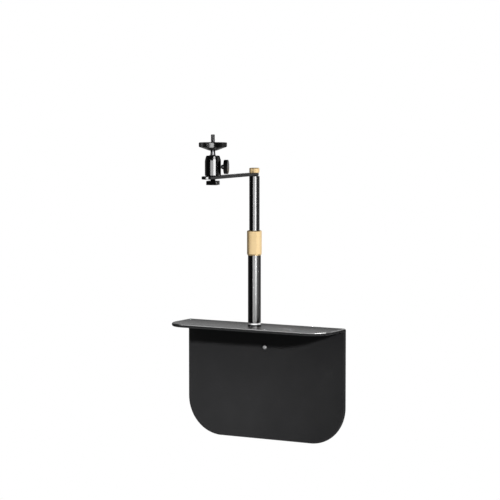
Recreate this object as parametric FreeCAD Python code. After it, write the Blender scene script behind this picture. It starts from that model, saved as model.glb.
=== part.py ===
import FreeCAD, Part
import math
import os

from FreeCAD import Vector

# Projector wall shelf, all sizes in millimetres.
# The wall is the plane y = 0, the room is towards -Y, Z is up and X runs along the wall.
# The origin is on the back of the wall plate, half way between its bottom and the shelf top.

# sheet, folded nearly sharp at the wall
sheet_w = 282.0
sheet_t = 5.6
plate_h = 183.4
shelf_d = 78.0
fold_extra_r = 0.6
fold_in_r = 1.0
plate_corner_r = 60.0
shelf_corner_r = 32.0
sheet_edge_flat = 0.4
wall_hole_d = 4.5
wall_hole_drop = 37.0

# clearances
run_gap = 0.05
seat_gap = 0.2
bolt_gap = 0.25
end_room = 5.0

# pole, with heights counted from the shelf top
pole_y = -39.0
lower_od = 20.0
upper_od = 16.0
tube_wall = 1.2
foot_ring_od = 21.0
foot_ring_h = 2.4
foot_ring_bevel = 0.5
trim_low_d = 19.8
trim_top_d = 16.6
trim_ring_h = 3.0
foot_plug_h = 8.6
lower_tube_h = 124.6
sleeve_h = 8.0
collar_od = 23.0
collar_h = 38.4
collar_rise = 104.7
collar_top_bevel = 1.0
collar_low_bevel = 1.2
collar_low_bevel_h = 2.2
bush_h = 12.0
slide_down = 65.0
upper_tube_h = 148.7
mast_plug_h = 20.0
arm_washer_od = 12.0
arm_washer_h = 0.8

# screws of the pole and of the head's foot
m6_d = 6.0
screw_spare = 0.8
foot_washer_od = 14.0
foot_washer_h = 1.2
foot_head_d = 11.0
foot_head_h = 3.4
foot_head_r = 1.2
foot_socket_w = 4.0
foot_socket_h = 2.0

# arm
arm_t = 4.5
arm_reach = 125.0
arm_tail = 16.8
arm_pole_w = 13.4
arm_head_w = 16.6
arm_edge = 0.5
cap_od = 15.8
cap_h = 7.1
cap_roof = 3.0
cap_bevel = 0.8
cap_stud_grip = 16.0

# ball head, turned a little about its own axis
head_turn = 22.0
housing_od = 24.2
housing_h = 30.2
housing_top_d = 20.0
housing_slope_h = 7.0
housing_shoulder_r = 18.0
housing_edge_r = 1.2
base_hole_depth = 10.0
ball_d = 18.0
ball_drop = 6.6
ball_bore_h = 5.0
mouth_deg = 52.0
stem_d = 7.6
stem_waist_d = 7.0
stem_show = 7.7
wheel_od = 42.4
wheel_rim_h = 6.4
wheel_cone_h = 5.6
wheel_cone_d = 12.0
wheel_top_r = 0.9
wheel_low_r = 1.4
wheel_flutes = 12
wheel_flute_r = 20.0
wheel_flute_depth = 1.3
camera_screw_d = 6.35
camera_screw_h = 12.0
clamp_rise = 13.5
clamp_od = 21.4
clamp_disc_t = 6.2
clamp_gap = 0.6
clamp_neck_h = 4.3
clamp_neck_d = 5.2
clamp_hub_d = 9.0
clamp_bevel = 0.4
clamp_screw_d = 3.4
clamp_tip = 7.2
knob_side = 17.0
knob_turn = -7.0
knob_h = 6.2
knob_floor = 2.0
knob_corner_r = 1.6
knob_bevel = 0.5
knob_washer_od = 7.6
knob_washer_h = 2.5

# sizes and places that follow from those above
shelf_top = plate_h / 2
sheet_edge_r = (sheet_t - sheet_edge_flat) / 2
fold_out_r = sheet_edge_r + fold_extra_r
lower_id = lower_od - 2 * tube_wall
upper_id = upper_od - 2 * tube_wall
lower_low = foot_ring_h + trim_ring_h
lower_top = lower_low + lower_tube_h
plug_top = lower_low + foot_plug_h
collar_low = lower_low + collar_rise
upper_low = plug_top + end_room + slide_down
upper_top = upper_low + upper_tube_h
arm_low = upper_top + arm_washer_h + seat_gap
arm_top = arm_low + arm_t
cap_low = arm_top + seat_gap
head_y = pole_y - arm_reach
housing_low = arm_top + seat_gap
housing_top = housing_low + housing_h
ball_z = housing_top - ball_drop
wheel_low = housing_top + stem_show
wheel_rim = wheel_low + wheel_cone_h
wheel_top = wheel_rim + wheel_rim_h
clamp_z = housing_low + clamp_rise
clamp_near = housing_od / 2 + clamp_gap
clamp_back = clamp_near + clamp_neck_h
knob_top = arm_low - seat_gap - knob_washer_h
knob_low = knob_top - knob_h


def cylinder(diameter, low, high):
    return Part.makeCylinder(diameter / 2, high - low, Vector(0, 0, low))


def ring(outer, inner, low, high):
    return cylinder(outer, low, high).cut(cylinder(inner, low - 1, high + 1))


def turned(profile, arcs=None):
    # solid of revolution about Z; arcs gives the middle point of a side that is an arc, by its start
    points = [Vector(r, 0, z) for r, z in profile]
    edges = []
    for i, start in enumerate(points):
        end = points[(i + 1) % len(points)]
        if arcs and i in arcs:
            r, z = arcs[i]
            edges.append(Part.Arc(start, Vector(r, 0, z), end).toShape())
        else:
            edges.append(Part.makeLine(start, end))
    return Part.Face(Part.Wire(edges)).revolve(Vector(0, 0, 0), Vector(0, 0, 1), 360)


def rims(solid, diameter, z):
    # circular edges of the given diameter at the given height
    found = []
    for edge in solid.Edges:
        if isinstance(edge.Curve, Part.Circle) and abs(edge.Curve.Radius - diameter / 2) < 0.001:
            if abs(edge.Curve.Center.z - z) < 0.001:
                found.append(edge)
    return found


def rounded_outline(corners, radii):
    # closed outline through square corners, each rounded with its own radius
    pieces = []
    count = len(corners)
    for i, here in enumerate(corners):
        back = (corners[i - 1] - here).normalize()
        on = (corners[(i + 1) % count] - here).normalize()
        r = radii[i]
        middle = here + (back + on) * r - (back + on).normalize() * r
        pieces.append((here + back * r, middle, here + on * r))
    edges = []
    for i, (first, middle, last) in enumerate(pieces):
        if radii[i] > 0:
            edges.append(Part.Arc(first, middle, last).toShape())
        edges.append(Part.makeLine(last, pieces[(i + 1) % count][0]))
    return Part.Face(Part.Wire(edges))


def sharp_edges(solid):
    # edges where two faces meet at a corner, leaving out the lines where they run on smoothly
    chosen = []
    for edge in solid.Edges:
        faces = solid.ancestorsOfType(edge, Part.Face)
        if len(faces) != 2:
            continue
        point = edge.valueAt((edge.FirstParameter + edge.LastParameter) / 2)
        normals = [face.normalAt(*face.Surface.parameter(point)) for face in faces]
        if abs(normals[0].dot(normals[1])) < 0.5:
            chosen.append(edge)
    return chosen


def at_pole(solid):
    solid.translate(Vector(0, pole_y, shelf_top))
    return solid


def at_head(solid):
    solid.rotate(Vector(0, 0, 0), Vector(0, 0, 1), head_turn)
    solid.translate(Vector(0, head_y, shelf_top))
    return solid


def along_clamp(solid):
    # stands a part turned about Z on the clamp axis, with Z as the way out of the housing
    solid.rotate(Vector(0, 0, 0), Vector(0, 1, 0), 90)
    solid.translate(Vector(0, 0, clamp_z))
    return at_head(solid)


def shelf_sheet():
    # an L-shaped strip, trimmed by the outlines of the shelf from above and of the plate from the front
    half = sheet_w / 2
    top = shelf_top
    low = top - plate_h
    side = [Vector(-half, 0, low), Vector(-half, 0, top), Vector(-half, -shelf_d, top),
            Vector(-half, -shelf_d, top - sheet_t), Vector(-half, -sheet_t, top - sheet_t),
            Vector(-half, -sheet_t, low)]
    strip = rounded_outline(side, [0, fold_out_r, 0, 0, fold_in_r, 0]).extrude(Vector(sheet_w, 0, 0))
    above = [Vector(-half, 0, low), Vector(half, 0, low), Vector(half, -shelf_d, low),
             Vector(-half, -shelf_d, low)]
    front = [Vector(-half, 0, top), Vector(half, 0, top), Vector(half, 0, low), Vector(-half, 0, low)]
    shelf = rounded_outline(above, [0, 0, shelf_corner_r, shelf_corner_r]).extrude(Vector(0, 0, plate_h))
    plate = rounded_outline(front, [0, 0, plate_corner_r, plate_corner_r]).extrude(Vector(0, -shelf_d, 0))
    sheet = strip.common(shelf).common(plate).Solids[0]
    sheet = sheet.makeFillet(sheet_edge_r, sharp_edges(sheet))
    hole_at = Vector(0, 1, top - wall_hole_drop)
    wall_hole = Part.makeCylinder(wall_hole_d / 2, sheet_t + 2, hole_at, Vector(0, -1, 0))
    bolt_hole = at_pole(cylinder(m6_d + 2 * bolt_gap, -sheet_t - 1, 1))
    return sheet.cut(wall_hole).cut(bolt_hole)


def foot_ring():
    body = cylinder(foot_ring_od, 0, foot_ring_h)
    body = body.makeChamfer(foot_ring_bevel, rims(body, foot_ring_od, foot_ring_h))
    return at_pole(body.cut(cylinder(m6_d + 2 * bolt_gap, -1, foot_ring_h + 1)))


def trim_ring():
    cone = Part.makeCone(trim_low_d / 2, trim_top_d / 2, trim_ring_h, Vector(0, 0, foot_ring_h))
    return at_pole(cone.cut(cylinder(m6_d + 2 * bolt_gap, 0, lower_low + 1)))


def lower_tube():
    return at_pole(ring(lower_od, lower_id, lower_low, lower_top))


def foot_plug():
    return at_pole(ring(lower_id, m6_d, lower_low, plug_top))


def foot_washer():
    return at_pole(ring(foot_washer_od, m6_d + 2 * bolt_gap, -sheet_t - foot_washer_h, -sheet_t))


def foot_bolt():
    # button head under the shelf with a hexagon socket, shank up into the plug
    seat = -sheet_t - foot_washer_h
    low = seat - foot_head_h
    head = cylinder(foot_head_d, low, seat)
    head = head.makeFillet(foot_head_r, rims(head, foot_head_d, low))
    reach = foot_socket_w / 2 / math.cos(math.pi / 6)
    corners = []
    for i in range(6):
        corners.append(Vector(reach * math.cos(i * math.pi / 3), reach * math.sin(i * math.pi / 3), low))
    socket = Part.Face(Part.makePolygon(corners + corners[:1])).extrude(Vector(0, 0, foot_socket_h))
    return at_pole(head.cut(socket).fuse(cylinder(m6_d, seat, plug_top - screw_spare)).removeSplitter())


def grip_sleeve():
    return at_pole(ring(lower_id, upper_od + 2 * run_gap, lower_top - sleeve_h, lower_top))


def lock_collar():
    # runs on both tubes: wide bore over the lower one, narrow bore over the upper one
    high = collar_low + collar_h
    r = collar_od / 2
    wide = lower_od / 2 + run_gap
    slim = upper_od / 2 + run_gap
    step = lower_top + seat_gap
    return at_pole(turned([(wide, collar_low), (r - collar_low_bevel, collar_low),
                           (r, collar_low + collar_low_bevel_h), (r, high - collar_top_bevel),
                           (r - collar_top_bevel, high), (slim, high), (slim, step), (wide, step)]))


def upper_tube():
    return at_pole(ring(upper_od, upper_id, upper_low, upper_top))


def guide_bush():
    return at_pole(ring(lower_id - 2 * run_gap, upper_od, upper_low, upper_low + bush_h))


def mast_plug():
    return at_pole(ring(upper_id, m6_d + 2 * run_gap, upper_top - mast_plug_h, upper_top))


def arm_washer():
    return at_pole(ring(arm_washer_od, m6_d + 2 * run_gap, upper_top, upper_top + arm_washer_h))


def swing_arm():
    # flat bar that widens from the pole to the head, with round ends
    near = arm_pole_w / 2
    far = arm_head_w / 2
    length = arm_reach + arm_tail
    lean = (far - near) / length
    across = math.sqrt(1 - lean * lean)
    a = Vector(near * across, near * lean, arm_low)
    b = Vector(far * across, far * lean - length, arm_low)
    a_left = Vector(-a.x, a.y, arm_low)
    b_left = Vector(-b.x, b.y, arm_low)
    edges = [Part.Arc(a, Vector(0, near, arm_low), a_left).toShape(), Part.makeLine(a_left, b_left),
             Part.Arc(b_left, Vector(0, -length - far, arm_low), b).toShape(), Part.makeLine(b, a)]
    bar = Part.Face(Part.Wire(edges)).extrude(Vector(0, 0, arm_t))
    bar = bar.makeChamfer(arm_edge, sharp_edges(bar))
    hole = cylinder(m6_d + 2 * run_gap, arm_low - 1, arm_top + 1)
    bar = bar.cut(hole)
    hole.translate(Vector(0, -arm_reach, 0))
    return at_pole(bar.cut(hole))


def cap_knob():
    high = cap_low + cap_h
    body = cylinder(cap_od, cap_low, high)
    body = body.makeChamfer(cap_bevel, rims(body, cap_od, high))
    return at_pole(body.cut(cylinder(m6_d, cap_low - 1, high - cap_roof)))


def cap_stud():
    return at_pole(cylinder(m6_d, upper_top - cap_stud_grip, cap_low + cap_h - cap_roof))


def head_housing():
    # turned body with a soft shoulder, a round seat for the ball and a flared mouth for the stem
    slope = housing_top - housing_slope_h
    body = turned([(0, housing_low), (housing_od / 2, housing_low), (housing_od / 2, slope),
                   (housing_top_d / 2, housing_top), (0, housing_top)])
    body = body.makeFillet(housing_shoulder_r, rims(body, housing_od, slope))
    body = body.makeFillet(housing_edge_r, rims(body, housing_od, housing_low)
                           + rims(body, housing_top_d, housing_top))
    seat = Part.makeSphere(ball_d / 2 + run_gap, Vector(0, 0, ball_z))
    tall = ball_drop + 1
    mouth = Part.makeCone(0, tall * math.tan(math.radians(mouth_deg)), tall, Vector(0, 0, ball_z))
    foot = cylinder(m6_d + 2 * run_gap, housing_low - 1, housing_low + base_hole_depth)
    side = cylinder(clamp_screw_d + 2 * run_gap, 0, housing_od)
    side.rotate(Vector(0, 0, 0), Vector(0, 1, 0), 90)
    side.translate(Vector(0, 0, clamp_z))
    return at_head(body.cut(seat).cut(mouth).cut(foot).cut(side))


def ball():
    body = Part.makeSphere(ball_d / 2, Vector(0, 0, ball_z))
    return at_head(body.cut(cylinder(stem_d + 2 * run_gap, ball_z - ball_bore_h, ball_z + ball_d)))


def ball_stem():
    # waisted neck between ball and wheel, then the screw that goes into the projector
    r = stem_d / 2
    s = camera_screw_d / 2
    low = ball_z - ball_bore_h + seat_gap
    clear = ball_z + ball_d / 2
    tip = wheel_top + camera_screw_h
    waist = (stem_waist_d / 2, (clear + wheel_low) / 2)
    return at_head(turned([(0, low), (r, low), (r, clear), (r, wheel_low), (r, wheel_top), (s, wheel_top),
                           (s, tip - screw_spare), (s - screw_spare, tip), (0, tip)], {2: waist}))


def lock_wheel():
    # conical underside and a rim with shallow finger hollows, turning on the top of the stem
    body = turned([(0, wheel_low), (wheel_cone_d / 2, wheel_low), (wheel_od / 2, wheel_rim),
                   (wheel_od / 2, wheel_top), (0, wheel_top)])
    body = body.makeFillet(wheel_top_r, rims(body, wheel_od, wheel_top))
    body = body.makeFillet(wheel_low_r, rims(body, wheel_od, wheel_rim))
    for i in range(wheel_flutes):
        hollow = cylinder(2 * wheel_flute_r, wheel_low - 1, wheel_top + 1)
        hollow.translate(Vector(wheel_od / 2 - wheel_flute_depth + wheel_flute_r, 0, 0))
        hollow.rotate(Vector(0, 0, 0), Vector(0, 0, 1), 360.0 * i / wheel_flutes)
        body = body.cut(hollow)
    return at_head(body.cut(cylinder(stem_d + 2 * run_gap, wheel_low - 1, wheel_top + 1)))


def clamp_knob():
    # thick disc on a neck that flares towards it
    r = clamp_od / 2
    face = clamp_back + clamp_disc_t
    hole = clamp_screw_d / 2
    return along_clamp(turned([(hole, clamp_near), (clamp_neck_d / 2, clamp_near),
                               (clamp_hub_d / 2, clamp_back), (r - clamp_bevel, clamp_back),
                               (r, clamp_back + clamp_bevel), (r, face - clamp_bevel),
                               (r - clamp_bevel, face), (0, face), (0, clamp_back), (hole, clamp_back)]))


def clamp_screw():
    return along_clamp(cylinder(clamp_screw_d, clamp_tip, clamp_back))


def base_knob():
    # square thumb knob with rounded corners
    half = knob_side / 2
    corners = [Vector(-half, -half, knob_low), Vector(half, -half, knob_low),
               Vector(half, half, knob_low), Vector(-half, half, knob_low)]
    body = rounded_outline(corners, [knob_corner_r] * 4).extrude(Vector(0, 0, knob_h))
    body = body.makeChamfer(knob_bevel, sharp_edges(body))
    body = body.cut(cylinder(m6_d, knob_low + knob_floor, knob_top + 1))
    body.rotate(Vector(0, 0, 0), Vector(0, 0, 1), knob_turn)
    return at_head(body)


def base_washer():
    return at_head(ring(knob_washer_od, m6_d, knob_top, knob_top + knob_washer_h))


def base_screw():
    return at_head(cylinder(m6_d, knob_low + knob_floor, housing_low + base_hole_depth - screw_spare))


makers = [shelf_sheet, foot_ring, trim_ring, lower_tube, foot_plug, foot_washer, foot_bolt, grip_sleeve,
          lock_collar, upper_tube, guide_bush, mast_plug, arm_washer, swing_arm, cap_knob, cap_stud,
          head_housing, ball, ball_stem, lock_wheel, clamp_knob, clamp_screw, base_knob, base_washer,
          base_screw]

os.makedirs("parts", exist_ok=True)
for maker in makers:
    maker().exportStep("parts/" + maker.__name__ + ".step")
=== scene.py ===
import math

import bmesh
import bpy
from mathutils import Matrix, Vector


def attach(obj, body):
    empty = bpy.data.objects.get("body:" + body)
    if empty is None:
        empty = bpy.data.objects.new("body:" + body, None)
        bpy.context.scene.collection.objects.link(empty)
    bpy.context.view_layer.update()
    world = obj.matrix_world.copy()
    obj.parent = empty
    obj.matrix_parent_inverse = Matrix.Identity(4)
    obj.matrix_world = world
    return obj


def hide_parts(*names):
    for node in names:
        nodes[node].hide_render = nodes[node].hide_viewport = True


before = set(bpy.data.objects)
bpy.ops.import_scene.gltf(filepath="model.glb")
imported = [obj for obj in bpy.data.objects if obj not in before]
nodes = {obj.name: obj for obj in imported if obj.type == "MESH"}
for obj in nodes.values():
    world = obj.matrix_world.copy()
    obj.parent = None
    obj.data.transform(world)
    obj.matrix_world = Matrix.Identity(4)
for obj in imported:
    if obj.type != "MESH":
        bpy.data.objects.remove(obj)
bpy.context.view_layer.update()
scene = bpy.context.scene
scene.view_settings.view_transform = "Standard"

MM = 0.001
SHELF_TOP = 91.7 * MM
PLATE_FRONT = -5.6 * MM
POLE = Vector((0, -39 * MM, SHELF_TOP))                    # the pole's axis, on the shelf
HEAD = Vector((0, -164 * MM, SHELF_TOP))                   # the ball head's axis, level with that
ARM_END = Vector((0, -180.8 * MM, 328 * MM))               # the arm's free end
PLATE_CORNER = Vector((-140 * MM, PLATE_FRONT, -80 * MM))  # the wall plate's lower left
MIDDLE = Vector((0, -60 * MM, 150 * MM))                   # what most lamps face


def clamp(value):
    return min(1.0, max(0.0, value))


# ---- shader helpers

class Tree:
    """Short calls for building one node tree."""

    def __init__(self, tree):
        self.tree = tree
        self.nodes = tree.nodes
        self.links = tree.links

    def add(self, kind, **settings):
        node = self.nodes.new(kind)
        for key, value in settings.items():
            setattr(node, key, value)
        return node

    def put(self, target, value):
        """Sets a socket to a number, or links another socket to it."""
        if isinstance(value, bpy.types.NodeSocket):
            self.links.new(value, target)
        else:
            target.default_value = value

    def math(self, operation, a, b, clamped=False):
        node = self.add("ShaderNodeMath", operation=operation, use_clamp=clamped)
        self.put(node.inputs[0], a)
        self.put(node.inputs[1], b)
        return node.outputs[0]

    def blend(self, a, b, share_of_b):
        """Weighted sum of two values."""
        return self.math("ADD", self.math("MULTIPLY", a, 1 - share_of_b),
                         self.math("MULTIPLY", b, share_of_b))

    def mix_color(self, factor, a, b):
        node = self.add("ShaderNodeMix", data_type="RGBA")
        self.put(node.inputs["Factor"], factor)
        self.put(node.inputs[6], a)
        self.put(node.inputs[7], b)
        return node.outputs[2]

    def remap(self, value, low, high, to_low, to_high):
        node = self.add("ShaderNodeMapRange")
        self.put(node.inputs["Value"], value)
        self.put(node.inputs["From Min"], low)
        self.put(node.inputs["From Max"], high)
        self.put(node.inputs["To Min"], to_low)
        self.put(node.inputs["To Max"], to_high)
        return node.outputs["Result"]

    def noise(self, vector, scale, detail, rough):
        node = self.add("ShaderNodeTexNoise")
        self.put(node.inputs["Vector"], vector)
        self.put(node.inputs["Scale"], scale)
        self.put(node.inputs["Detail"], detail)
        self.put(node.inputs["Roughness"], rough)
        return node.outputs["Fac"]

    def group(self, tree, **inputs):
        node = self.add("ShaderNodeGroup", node_tree=tree)
        for name, value in inputs.items():
            self.put(node.inputs[name.replace("_", " ")], value)
        return node.outputs


def new_group(name, inputs, outputs):
    tree = bpy.data.node_groups.new(name, "ShaderNodeTree")
    for label, kind, value in inputs:
        socket = tree.interface.new_socket(label, in_out="INPUT", socket_type=kind)
        if value is not None:
            socket.default_value = value
    for label in outputs:
        tree.interface.new_socket(label, in_out="OUTPUT", socket_type="NodeSocketFloat")
    t = Tree(tree)
    return t, t.add("NodeGroupInput").outputs, t.add("NodeGroupOutput").inputs


def grain_group():
    """Fine grain of a powder coat or moulded skin, with a cloudy tone in it."""
    t, i, o = new_group("fine_grain", [("Vector", "NodeSocketVector", None),
                                       ("Scale", "NodeSocketFloat", 900.0),
                                       ("Cloud Scale", "NodeSocketFloat", 14.0)],
                        ["Tone", "Height"])
    fine = t.noise(i["Vector"], i["Scale"], detail=3.0, rough=0.6)
    cloud = t.noise(i["Vector"], i["Cloud Scale"], detail=4.0, rough=0.55)
    t.put(o["Tone"], t.blend(fine, cloud, share_of_b=0.45))
    t.put(o["Height"], fine)
    return t.tree


def rub_group():
    """Where handling has rubbed the finish: along the edges, broken up by noise."""
    t, i, o = new_group("edge_rub", [("Vector", "NodeSocketVector", None),
                                     ("Width", "NodeSocketFloat", 0.8 * MM),
                                     ("Amount", "NodeSocketFloat", 0.5)],
                        ["Mask"])
    bevel = t.add("ShaderNodeBevel", samples=4)
    t.put(bevel.inputs["Radius"], i["Width"])
    normal = t.add("ShaderNodeNewGeometry").outputs["Normal"]
    dot = t.add("ShaderNodeVectorMath", operation="DOT_PRODUCT")
    t.put(dot.inputs[0], bevel.outputs["Normal"])
    t.put(dot.inputs[1], normal)
    flat, edged = 0.99, 0.86
    edge = t.remap(dot.outputs["Value"], flat, edged, 0.0, 1.0)
    speckle = t.noise(i["Vector"], scale=160.0, detail=3.0, rough=0.6)
    patch = t.remap(speckle, 0.35, 0.75, 0.2, 1.0)
    t.put(o["Mask"], t.math("MULTIPLY", t.math("MULTIPLY", edge, patch), i["Amount"], clamped=True))
    return t.tree


def turned_group():
    """Fine lines left by turning or brushing, across the axis with the largest stretch."""
    t, i, o = new_group("turned_lines", [("Vector", "NodeSocketVector", None),
                                         ("Stretch", "NodeSocketVector", (20.0, 20.0, 6000.0))],
                        ["Tone", "Height"])
    scaled = t.add("ShaderNodeVectorMath", operation="MULTIPLY")
    t.put(scaled.inputs[0], i["Vector"])
    t.put(scaled.inputs[1], i["Stretch"])
    lines = t.noise(scaled.outputs["Vector"], scale=1.0, detail=3.0, rough=0.65)
    smear = t.noise(i["Vector"], scale=45.0, detail=3.0, rough=0.5)
    t.put(o["Tone"], t.blend(lines, smear, share_of_b=0.3))
    t.put(o["Height"], lines)
    return t.tree


GRAIN = grain_group()
RUB = rub_group()
TURNED = turned_group()
GRAIN_HEIGHT = 0.2 * MM
LINE_HEIGHT = 0.05 * MM
TONE_SPAN = (0.35, 0.65)
ROUGH_SPAN = (0.3, 0.7)


def new_material(name):
    material = bpy.data.materials.new(name)
    material.use_nodes = True
    t = Tree(material.node_tree)
    shader = t.nodes["Principled BSDF"]
    place = t.add("ShaderNodeTexCoord").outputs["Object"]
    return material, t, shader, place


def bump(t, shader, height, strength, distance):
    node = t.add("ShaderNodeBump")
    t.put(node.inputs["Height"], height)
    node.inputs["Strength"].default_value = strength
    node.inputs["Distance"].default_value = distance
    t.put(shader.inputs["Normal"], node.outputs["Normal"])


def coat_black(name, dark, pale, rubbed, rough, grain_scale, relief, rub=0.4, specular=0.5):
    """Black finish with a fine grain, cloudy tone and lightly rubbed edges."""
    material, t, shader, place = new_material(name)
    grain = t.group(GRAIN, Vector=place, Scale=grain_scale)
    worn = t.group(RUB, Vector=place, Amount=rub)["Mask"]
    tone = t.mix_color(t.remap(grain["Tone"], *TONE_SPAN, 0.0, 1.0), dark, pale)
    t.put(shader.inputs["Base Color"], t.mix_color(worn, tone, rubbed))
    t.put(shader.inputs["Roughness"], t.remap(grain["Tone"], *ROUGH_SPAN, *rough))
    shader.inputs["Specular IOR Level"].default_value = specular
    bump(t, shader, grain["Height"], relief, GRAIN_HEIGHT)
    return material


def metal(name, dark, pale, rough, stretch, relief, rub=0.0, rubbed=None):
    """Metal with turning lines, and with rubbed edges where rub is given."""
    material, t, shader, place = new_material(name)
    lines = t.group(TURNED, Vector=place, Stretch=stretch)
    tone = t.mix_color(t.remap(lines["Tone"], *TONE_SPAN, 0.0, 1.0), dark, pale)
    if rub:
        tone = t.mix_color(t.group(RUB, Vector=place, Amount=rub)["Mask"], tone, rubbed)
    t.put(shader.inputs["Base Color"], tone)
    t.put(shader.inputs["Roughness"], t.remap(lines["Tone"], *ROUGH_SPAN, *rough))
    shader.inputs["Metallic"].default_value = 1.0
    bump(t, shader, lines["Height"], relief, LINE_HEIGHT)
    return material


POWDER = coat_black("powder_black", dark=(0.024, 0.024, 0.025, 1), pale=(0.032, 0.032, 0.033, 1),
                    rubbed=(0.05, 0.05, 0.05, 1), rough=(0.22, 0.28), grain_scale=1600.0,
                    relief=0.05, rub=0.5)
GLOSS = coat_black("gloss_black", dark=(0.005, 0.005, 0.0055, 1), pale=(0.008, 0.008, 0.0085, 1),
                   rubbed=(0.02, 0.02, 0.02, 1), rough=(0.12, 0.15), grain_scale=60.0,
                   relief=0.004)
SATIN = coat_black("satin_black", dark=(0.018, 0.018, 0.019, 1), pale=(0.026, 0.026, 0.027, 1),
                   rubbed=(0.05, 0.05, 0.05, 1), rough=(0.20, 0.26), grain_scale=1400.0,
                   relief=0.03, rub=0.5)
PLASTIC = coat_black("black_plastic", dark=(0.006, 0.006, 0.006, 1), pale=(0.010, 0.010, 0.010, 1),
                     rubbed=(0.03, 0.03, 0.03, 1), rough=(0.26, 0.34), grain_scale=700.0,
                     relief=0.03, rub=0.3, specular=0.4)
GOLD = metal("pale_gold", dark=(0.86, 0.62, 0.31, 1), pale=(0.95, 0.73, 0.42, 1),
             rough=(0.34, 0.44), stretch=(30.0, 30.0, 5200.0), relief=0.12,
             rub=0.5, rubbed=(0.98, 0.84, 0.58, 1))
BRIGHT = metal("bright_plating", dark=(0.76, 0.76, 0.77, 1), pale=(0.88, 0.88, 0.88, 1),
               rough=(0.24, 0.34), stretch=(30.0, 30.0, 3000.0), relief=0.03)
STEEL = metal("bare_steel", dark=(0.46, 0.46, 0.47, 1), pale=(0.62, 0.62, 0.62, 1),
              rough=(0.24, 0.38), stretch=(40.0, 40.0, 4200.0), relief=0.12)
BLACK_STEEL = metal("blackened_steel", dark=(0.030, 0.030, 0.032, 1), pale=(0.055, 0.055, 0.057, 1),
                    rough=(0.20, 0.32), stretch=(40.0, 40.0, 4200.0), relief=0.12,
                    rub=0.5, rubbed=(0.25, 0.25, 0.25, 1))

FINISH = {
    "shelf_sheet": POWDER, "swing_arm": SATIN,
    "foot_ring": GLOSS, "lower_tube": GLOSS, "upper_tube": GLOSS, "head_housing": GLOSS,
    "lock_collar": GOLD, "cap_knob": GOLD,
    "trim_ring": BRIGHT, "ball": BRIGHT,
    "lock_wheel": PLASTIC, "clamp_knob": PLASTIC, "base_knob": PLASTIC, "base_washer": PLASTIC,
    "grip_sleeve": PLASTIC, "guide_bush": PLASTIC, "arm_washer": PLASTIC,
    "foot_plug": STEEL, "foot_washer": STEEL, "foot_bolt": STEEL, "mast_plug": STEEL,
    "cap_stud": STEEL,
    "ball_stem": BLACK_STEEL, "clamp_screw": BLACK_STEEL, "base_screw": BLACK_STEEL,
}
for name, material in FINISH.items():
    for slot in nodes[name].material_slots:
        slot.material = material


# ---- pieces that the solids leave out

def add_piece(name, bm, body, material):
    mesh = bpy.data.meshes.new(name)
    bmesh.ops.recalc_face_normals(bm, faces=bm.faces)
    bm.to_mesh(mesh)
    bm.free()
    mesh.materials.append(material)
    for polygon in mesh.polygons:
        polygon.use_smooth = True
    piece = bpy.data.objects.new(name, mesh)
    scene.collection.objects.link(piece)
    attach(piece, body)
    return piece


def lathe(rows, steps, place):
    """Skins one ring of points per row and closes both ends; place(row, angle) gives each point."""
    bm = bmesh.new()
    rings = []
    for row in rows:
        rings.append([bm.verts.new(place(row, 2 * math.pi * k / steps)) for k in range(steps)])
    for low, high in zip(rings, rings[1:]):
        for k in range(steps):
            n = (k + 1) % steps
            bm.faces.new((low[k], low[n], high[n], high[k]))
    bm.faces.new(rings[0])
    bm.faces.new(rings[-1])
    return bm


def projector_screw():
    """The stem with the quarter-inch thread cut into its top; it stands for the plain CAD stem.

    Heights count from the shelf's top.
    """
    stem_r = 3.8 * MM
    stem_low, waist_low, waist_high, stem_top = 257.2 * MM, 271.0 * MM, 276.3 * MM, 288.3 * MM
    waist_depth = 0.3 * MM
    waist_steps = 12
    bevel = 0.2 * MM
    rows = [(stem_r, stem_low, False), (stem_r, waist_low, False)]
    for k in range(1, waist_steps):
        share = k / waist_steps
        rows.append((stem_r - waist_depth * math.sin(math.pi * share),
                     waist_low + (waist_high - waist_low) * share, False))
    rows += [(stem_r, waist_high, False), (stem_r, stem_top - bevel, False),
             (stem_r - bevel, stem_top, False)]

    tip = 300.3 * MM
    pitch = 1.27 * MM
    outer = 3.175 * MM
    depth = 0.62 * MM
    flank, crest = 1.3, 0.15
    tip_bevel, tip_slope, tip_room = 0.9 * MM, 0.9, 0.05 * MM
    rows_per_turn, steps = 10, 48
    z = stem_top
    while z < tip - tip_room:
        rows.append((outer - tip_slope * max(0.0, tip_bevel - (tip - z)), z, True))
        z += pitch / rows_per_turn
    rows.append((outer - tip_bevel, tip, False))

    def place(row, angle):
        r, height, threaded = row
        if threaded:
            turn = (height - stem_top) / pitch - angle / (2 * math.pi)
            wave = abs((turn % 1.0) * 2 - 1)
            r = min(r, outer - depth * clamp(wave * flank - crest))
        return HEAD + Vector((r * math.cos(angle), r * math.sin(angle), height))

    piece = add_piece("stem_with_thread", lathe(rows, steps, place), "stem", BLACK_STEEL)
    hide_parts("ball_stem")


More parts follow.
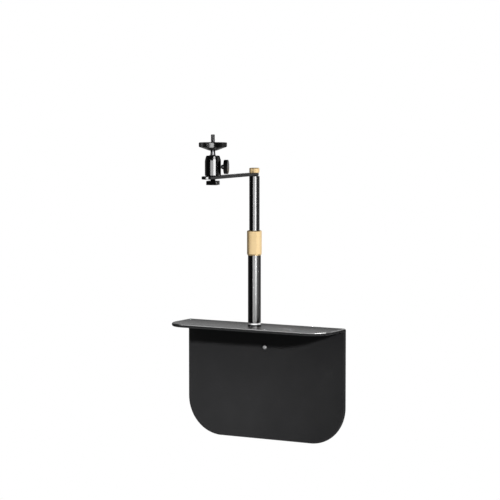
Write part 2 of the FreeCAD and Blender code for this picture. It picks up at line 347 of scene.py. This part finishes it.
def wall_screw():
    """Round-headed wall screw with a cross recess, its shank filling the plate's hole."""
    below_top = 37 * MM
    centre = Vector((0, PLATE_FRONT, SHELF_TOP - below_top))
    seat_gap = 0.02 * MM
    shank_r, shank_length = 1.9 * MM, 5.5 * MM
    head_r, head_h = 3.7 * MM, 2.3 * MM
    rim_share, roundness = 0.35, 2.6
    tip_share = 0.004
    rings, steps = 28, 72
    rows = [(shank_r, shank_length - seat_gap, False), (shank_r, -seat_gap, False),
            (head_r, -seat_gap, False)]
    for k in range(rings + 1):
        share = max(tip_share, 1 - k / rings)
        lift = head_h * (rim_share + (1 - rim_share) * math.sqrt(1 - share ** roundness))
        rows.append((head_r * share, -lift, True))

    slot_depth = 0.8 * MM
    slot_half, slot_slope = 0.28 * MM, 0.2 * MM
    slot_reach, end_slope = 1.5 * MM, 0.3 * MM

    def recess(x, z):
        """Depth of the cross, which stands on the diagonals."""
        u, v = (x + z) / math.sqrt(2), (x - z) / math.sqrt(2)
        cut = 0.0
        for across, along in ((u, v), (v, u)):
            side = 1 - clamp((abs(across) - slot_half) / slot_slope)
            end = 1 - clamp((abs(along) - slot_reach) / end_slope)
            cut = max(cut, slot_depth * side * end)
        return cut

    def place(row, angle):
        r, y, domed = row
        x, z = r * math.cos(angle), r * math.sin(angle)
        if domed:
            y += recess(x, z)
        return centre + Vector((x, y, z))

    add_piece("wall_screw", lathe(rows, steps, place), "wall_bracket", STEEL)


projector_screw()
wall_screw()


# ---- stage, camera and lights

CAMERA_PLACE = Vector((1.6886, -2.98923, 0.48816))
CAMERA_AZIMUTH = math.radians(29.9)
CAMERA_PITCH = math.radians(4.68)
SENSOR_MM = 36
FOCAL_PIXELS = 2200
PICTURE_PIXELS = 500
view = Vector((-math.sin(CAMERA_AZIMUTH) * math.cos(CAMERA_PITCH),
               math.cos(CAMERA_AZIMUTH) * math.cos(CAMERA_PITCH), -math.sin(CAMERA_PITCH)))
right = Vector((math.cos(CAMERA_AZIMUTH), math.sin(CAMERA_AZIMUTH), 0))
up = right.cross(view)
camera = bpy.data.objects.new("camera", bpy.data.cameras.new("camera"))
scene.collection.objects.link(camera)
camera.data.sensor_width = SENSOR_MM
camera.data.lens = FOCAL_PIXELS * SENSOR_MM / PICTURE_PIXELS
camera.data.clip_end = 60
axes = Matrix((right, up, -view)).transposed().to_4x4()
camera.matrix_world = Matrix.Translation(CAMERA_PLACE) @ axes
scene.camera = camera


def floor():
    """Pale floor far below the shelf, which fades into the white background."""
    half_side, height = 3.2, -1.6
    fade_from, fade_to, least_fade = 0.4, 3.0, 0.72
    bm = bmesh.new()
    bmesh.ops.create_grid(bm, x_segments=1, y_segments=1, size=half_side)
    mesh = bpy.data.meshes.new("floor")
    bm.to_mesh(mesh)
    bm.free()
    piece = bpy.data.objects.new("floor", mesh)
    piece.location = (0, 0, height)
    scene.collection.objects.link(piece)
    material, t, shader, place = new_material("pale_floor")
    grain = t.group(GRAIN, Vector=place, Scale=40.0, Cloud_Scale=1.5)
    tone = t.mix_color(grain["Tone"], (0.80, 0.80, 0.79, 1), (0.86, 0.86, 0.85, 1))
    t.put(shader.inputs["Base Color"], tone)
    shader.inputs["Roughness"].default_value = 0.9
    reach = t.add("ShaderNodeVectorMath", operation="LENGTH")
    t.put(reach.inputs[0], place)
    fade = t.remap(reach.outputs["Value"], fade_from, fade_to, least_fade, 1.0)
    seen = t.add("ShaderNodeLightPath").outputs["Is Camera Ray"]
    mix = t.add("ShaderNodeMixShader")
    t.put(mix.inputs[0], t.math("MULTIPLY", seen, fade))
    t.put(mix.inputs[1], shader.outputs["BSDF"])
    t.put(mix.inputs[2], t.add("ShaderNodeEmission").outputs["Emission"])
    t.put(t.nodes["Material Output"].inputs["Surface"], mix.outputs["Shader"])
    mesh.materials.append(material)


def studio_world():
    """White to the camera; mirrors see white only straight behind the object, the rest is dim."""
    mirror_edge, mirror_full, mirror_dim = 0.985, 0.9995, 0.03
    room_low, room_high = (-0.4, 0.05), (0.7, 0.24)
    world = bpy.data.worlds.new("studio")
    scene.world = world
    world.use_nodes = True
    t = Tree(world.node_tree)
    t.nodes.clear()
    path = t.add("ShaderNodeLightPath").outputs
    direction = t.add("ShaderNodeTexCoord").outputs["Generated"]
    facing = t.add("ShaderNodeVectorMath", operation="DOT_PRODUCT")
    t.put(facing.inputs[0], direction)
    facing.inputs[1].default_value = view
    behind = t.remap(facing.outputs["Value"], mirror_edge, mirror_full, mirror_dim, 1.0)
    parts = t.add("ShaderNodeSeparateXYZ")
    t.put(parts.inputs[0], direction)
    ceiling = t.remap(parts.outputs["Z"], room_low[0], room_high[0], room_low[1], room_high[1])
    bounced = t.math("MAXIMUM", path["Is Glossy Ray"], path["Is Transmission Ray"])
    mirror = t.math("MULTIPLY", bounced, behind)
    room = t.math("MULTIPLY", path["Is Diffuse Ray"], ceiling)
    level = t.math("MAXIMUM", path["Is Camera Ray"], t.math("MAXIMUM", mirror, room))
    background = t.add("ShaderNodeBackground")
    background.inputs["Color"].default_value = (1, 1, 1, 1)
    t.put(background.inputs["Strength"], level)
    t.put(t.add("ShaderNodeOutputWorld").inputs["Surface"], background.outputs["Background"])


def panel(name, azimuth, half_width, low, high, level, only, distance=2.4, seen_from=MIDDLE):
    """Soft panel that lights only some pieces, given by the angles it fills seen from one place.

    Angles are in degrees, and the azimuth counts from straight out of the wall towards +X. The
    power goes with level and area, so panels of one level look as bright in a mirror at any size.
    """
    light = bpy.data.lights.new(name, "AREA")
    light.shape = "RECTANGLE"
    light.size = 2 * distance * math.tan(math.radians(half_width))
    light.size_y = 2 * distance * math.tan(math.radians(high - low) / 2)
    light.energy = level * math.pi * light.size * light.size_y
    lamp = bpy.data.objects.new(name, light)
    scene.collection.objects.link(lamp)
    a, e = math.radians(azimuth), math.radians(low + high) / 2
    away = Vector((math.sin(a) * math.cos(e), -math.cos(a) * math.cos(e), math.sin(e)))
    lamp.location = seen_from + away * distance
    lamp.rotation_euler = away.to_track_quat("Z", "Y").to_euler()
    receivers = bpy.data.collections.new(name + "_on")
    for piece in only:
        receivers.objects.link(piece)
    lamp.light_linking.receiver_collection = receivers
    return lamp


def wearing(*materials):
    """The pieces with one of these finishes."""
    return [piece for piece in scene.objects
            if piece.type == "MESH" and piece.data.materials[0] in materials]


floor()
studio_world()
wheel = [nodes["lock_wheel"]]
sheet = [nodes["shelf_sheet"]]
arm = [nodes["swing_arm"]]
knob = [nodes["base_knob"]]
side_knob = [nodes["clamp_knob"]]
lower_tube = [nodes["lower_tube"]]
tubes = lower_tube + [nodes["upper_tube"], nodes["foot_ring"]]
glossy = wearing(GLOSS, BLACK_STEEL)
head = [piece for piece in glossy if piece not in tubes]
soft = wearing(SATIN, PLASTIC)
metals = wearing(GOLD, BRIGHT, STEEL)
others = [piece for piece in scene.objects if piece.type == "MESH" and piece not in metals]

# two lamps that light surfaces but don't show in them; the first is a narrow beam
KEY_DISTANCE = 4.5
KEY_BEAM = math.radians(7)
key = panel("key", 51, 1.97, 12.4, 16.0, 2.6, others, KEY_DISTANCE)
key.visible_glossy = False
key.data.spread = KEY_BEAM
key.rotation_euler = (key.location - PLATE_CORNER).to_track_quat("Z", "Y").to_euler()
panel("fill_back", 212, 27, -10, 40, 1.5, others).visible_glossy = False

# lamps that only show in surfaces: name, azimuth, half width, lower and upper edge, level, pieces,
# and for the two near ones their distance and the place that they are seen from
CARD_DISTANCE = 75 * MM
CARD_PLACE = POLE - Vector((60 * MM, 0, 0))
ARM_LAMP_DISTANCE = 50 * MM
for row in (("shelf_card", 180, 76, 11, 70, 0.55, sheet, CARD_DISTANCE, CARD_PLACE),
            ("tube_right", 57, 16, -6.5, 34, 25, tubes),
            ("tube_front", 19.5, 19.5, -8, 20, 9.3, tubes),
            ("tube_side", 90, 15, -7.5, 8, 3, lower_tube),
            ("head_right", 52, 15.5, -6.5, 34, 24, head),
            ("head_front", 16, 20.5, -8, 20, 8.8, head),
            ("strip_low", 35, 36, -32, -9, 5, glossy),
            ("strip_back", 210, 14, -32, -11, 5, glossy),
            ("side_right", 122, 25, -20, 30, 0.6, glossy + soft),
            ("side_left", -100, 27, -20, 30, 0.15, glossy + soft),
            ("soft_back", 206, 34, -25, 8, 0.48, soft),
            ("arm_end", 32, 21, -9, 6, 24, arm, ARM_LAMP_DISTANCE, ARM_END),
            ("arm_side", 150, 18, -20, 20, 0.35, arm),
            ("knob_edge", 53, 10, -4, 7, 42, knob),
            ("hub_left", -34, 12, -12, 12, 32, side_knob),
            ("wheel_front", 4, 17.4, -10, 30, 16, wheel),
            ("sheet_above", 5, 42, 44, 88, 11, sheet),
            ("sheet_beyond", 185, 42, 40, 88, 1.5, sheet),
            ("sheet_corner", 84, 24, 51, 74, 60, sheet),
            ("sheet_right", 163, 24, 20, 36, 1.6, sheet),
            ("metal_front", 15, 35, -30, 40, 0.95, metals),
            ("metal_right", 90, 38, -30, 40, 1.15, metals),
            ("metal_back", 165, 35, -30, 40, 0.9, metals),
            ("metal_left", -40, 20, -30, 40, 0.75, metals),
            ("metal_far_left", -105, 40, -30, 40, 0.12, metals),
            ("metal_above", 30, 41, 40, 72, 1.6, metals)):
    panel(*row).visible_diffuse = False
